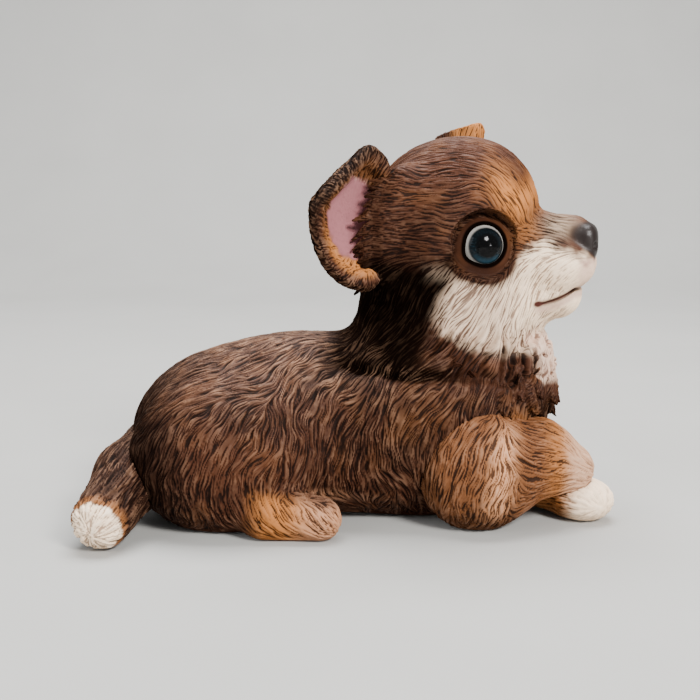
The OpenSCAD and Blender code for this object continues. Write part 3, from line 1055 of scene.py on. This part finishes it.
def painted_eye_material():
    """Black pupil, blue-grey iris with faint rays, paler below, and an off-white ball; painted shadow of the
    upper lid on the iris's top, and painted shade on the white by the lids.
    """
    m = Nodes("painted_doll_eye")
    gx, gy = m.attr("gaze_x"), m.attr("gaze_y")
    r = m.math("SQRT", m.math("ADD", m.times(gx, gx), m.times(gy, gy)))
    ang = m.math("ARCTAN2", gy, gx)
    co = m.add("ShaderNodeCombineXYZ")
    m.link(m.times(m.math("COSINE", ang), 9.0), co.inputs[0])
    m.link(m.times(m.math("SINE", ang), 9.0), co.inputs[1])
    m.link(m.times(r, 1.5), co.inputs[2])
    rays = m.add("ShaderNodeTexNoise")
    m.link(co.outputs[0], rays.inputs["Vector"])
    rays.inputs["Scale"].default_value = 1.6
    rays.inputs["Detail"].default_value = 4
    iris = m.mix(m.remap(rays.outputs["Fac"], 0.35, 0.7), PAINT["iris_dark"], PAINT["iris_ray"])
    iris = m.mix(m.times(m.remap(gy, -0.70, -0.15, 1, 0), 0.5), iris, PAINT["iris_low"])
    # painted shadow of the upper lid over the top of the iris
    iris = m.mix(m.remap(gy, -0.15, 0.45, 0, 0.7), iris, PAINT["iris_lid_shadow"])
    iris = m.mix(m.remap(r, 0.60, 0.71), iris, PAINT["iris_edge"])
    # white darker towards the ball's edge: painted shade by the lids
    white = m.mix(m.remap(r, 0.80, 0.99), PAINT["eye_white"], PAINT["eye_white_lid_shade"])
    c = m.mix(m.remap(r, *IRIS_R), iris, white)
    c = m.mix(m.remap(r, *PUPIL_R, 1, 0), c, PAINT["pupil"])
    m.link(c, m.bsdf.inputs["Base Color"])
    m.bsdf.inputs["Roughness"].default_value = 0.10
    m.bsdf.inputs["Specular IOR Level"].default_value = 0.15
    return m.mat


def clear_cap_material():
    """The dome over the painted ball; the ball carries the highlights."""
    m = Nodes("clear_cap")
    m.bsdf.inputs["Base Color"].default_value = (0.0, 0.0, 0.0, 1)
    m.bsdf.inputs["Roughness"].default_value = 0.10
    m.bsdf.inputs["Alpha"].default_value = 0.06
    m.bsdf.inputs["Specular IOR Level"].default_value = 0.0
    m.bsdf.inputs["IOR"].default_value = 1.5
    m.mat.surface_render_method = "BLENDED"
    return m.mat


def plug_material():
    m = Nodes("soft_plug")
    c = m.mix(m.noise(700, 4, 0.6), PAINT["plug_dark"], PAINT["plug_pale"])
    m.link(c, m.bsdf.inputs["Base Color"])
    m.link(m.remap(m.noise(300), 0.3, 0.7, 0.7, 0.85), m.bsdf.inputs["Roughness"])
    m.bump(m.noise(2500, 3), 0.3, 0.0001)
    return m.mat


def wear(obj, mat):
    obj.data.materials.clear()
    obj.data.materials.append(mat)


for o, part in ((body, "body"), (head, "head"), (leg_r, "right_leg"), (leg_l, "left_leg"), (tail, "tail"),
                (ear_r, "right_ear"), (ear_l, "left_ear")):
    wear(o, coat_material("painted_coat_" + part))
eye_mat, cap_mat, plug_mat = painted_eye_material(), clear_cap_material(), plug_material()
for ball, cap in zip(balls, caps):
    wear(ball, eye_mat)
    wear(cap, cap_mat)
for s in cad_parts["pour_hole_plug"].material_slots:
    s.material = plug_mat


# ---------------------------------------------------------------- stage, light and camera

def stage_material():
    m = Nodes("pale_stage")
    c = m.mix(m.noise(14, 4), PAINT["stage_dark"], PAINT["stage_pale"])
    m.link(c, m.bsdf.inputs["Base Color"])
    m.bsdf.inputs["Roughness"].default_value = 0.8
    return m.mat


def sweep():
    """Floor that curves up behind the figure."""
    steps, bend_at, bend_r = 24, 0.55, 0.35
    prof = [(-1.6, 0.0), (bend_at, 0.0)]
    for i in range(1, steps + 1):
        a = math.pi / 2 * i / steps
        prof.append((bend_at + bend_r * math.sin(a), bend_r - bend_r * math.cos(a)))
    prof.append((bend_at + bend_r, 2.4))
    verts = [(x, y, z) for y, z in prof for x in (-2.2, 2.2)]
    faces = [(2 * i, 2 * i + 1, 2 * i + 3, 2 * i + 2) for i in range(len(prof) - 1)]
    me = bpy.data.meshes.new("floor_sweep")
    me.from_pydata(verts, [], faces)
    me.polygons.foreach_set("use_smooth", [True] * len(faces))
    o = add_object("floor_sweep", me)
    o.data.materials.append(stage_material())


LIT_AT = (0, 0, 0.05)


def area(name, at, size, power, colour=(1, 1, 1)):
    """Soft box of the given size in metres and power in watts, aimed at the figure."""
    l = bpy.data.lights.new(name, "AREA")
    l.shape = "RECTANGLE"
    l.size, l.size_y = size
    l.energy = power
    l.color = colour
    o = add_object(name, l)
    o.location = at
    o.rotation_euler = (Vector(LIT_AT) - Vector(at)).to_track_quat("-Z", "Y").to_euler()


sweep()
area("key", (0.45, -0.68, 0.60), (0.24, 0.24), 18, (1.0, 0.985, 0.96))
area("fill", (-0.75, -0.45, 0.45), (0.7, 0.7), 5.5, (0.95, 0.98, 1.0))
area("low", (0.75, -0.72, 0.16), (0.10, 0.10), 1.6)
area("top", (0.0, 0.25, 1.0), (0.8, 0.6), 27)
world = bpy.data.worlds.new("soft")
bpy.context.scene.world = world
world.use_nodes = True
background = world.node_tree.nodes["Background"].inputs
background["Color"].default_value = (0.86, 0.88, 0.9, 1)
background["Strength"].default_value = 0.62

IMAGE_PX, FOCAL_PX, SENSOR = 700, 1077, 36
DISTANCE, LIFT = 0.312, math.radians(9)
AIM = (-0.0019, 0.0, 0.0456)
cam = bpy.data.cameras.new("view")
cam.lens = FOCAL_PX * SENSOR / IMAGE_PX
cam.sensor_width = SENSOR
cam.clip_start = 0.01
cam_obj = add_object("view", cam)
cam_obj.location = (AIM[0], AIM[1] - DISTANCE * math.cos(LIFT), AIM[2] + DISTANCE * math.sin(LIFT))
cam_obj.rotation_euler = (math.pi / 2 - LIFT, 0, 0)
bpy.context.scene.camera = cam_obj
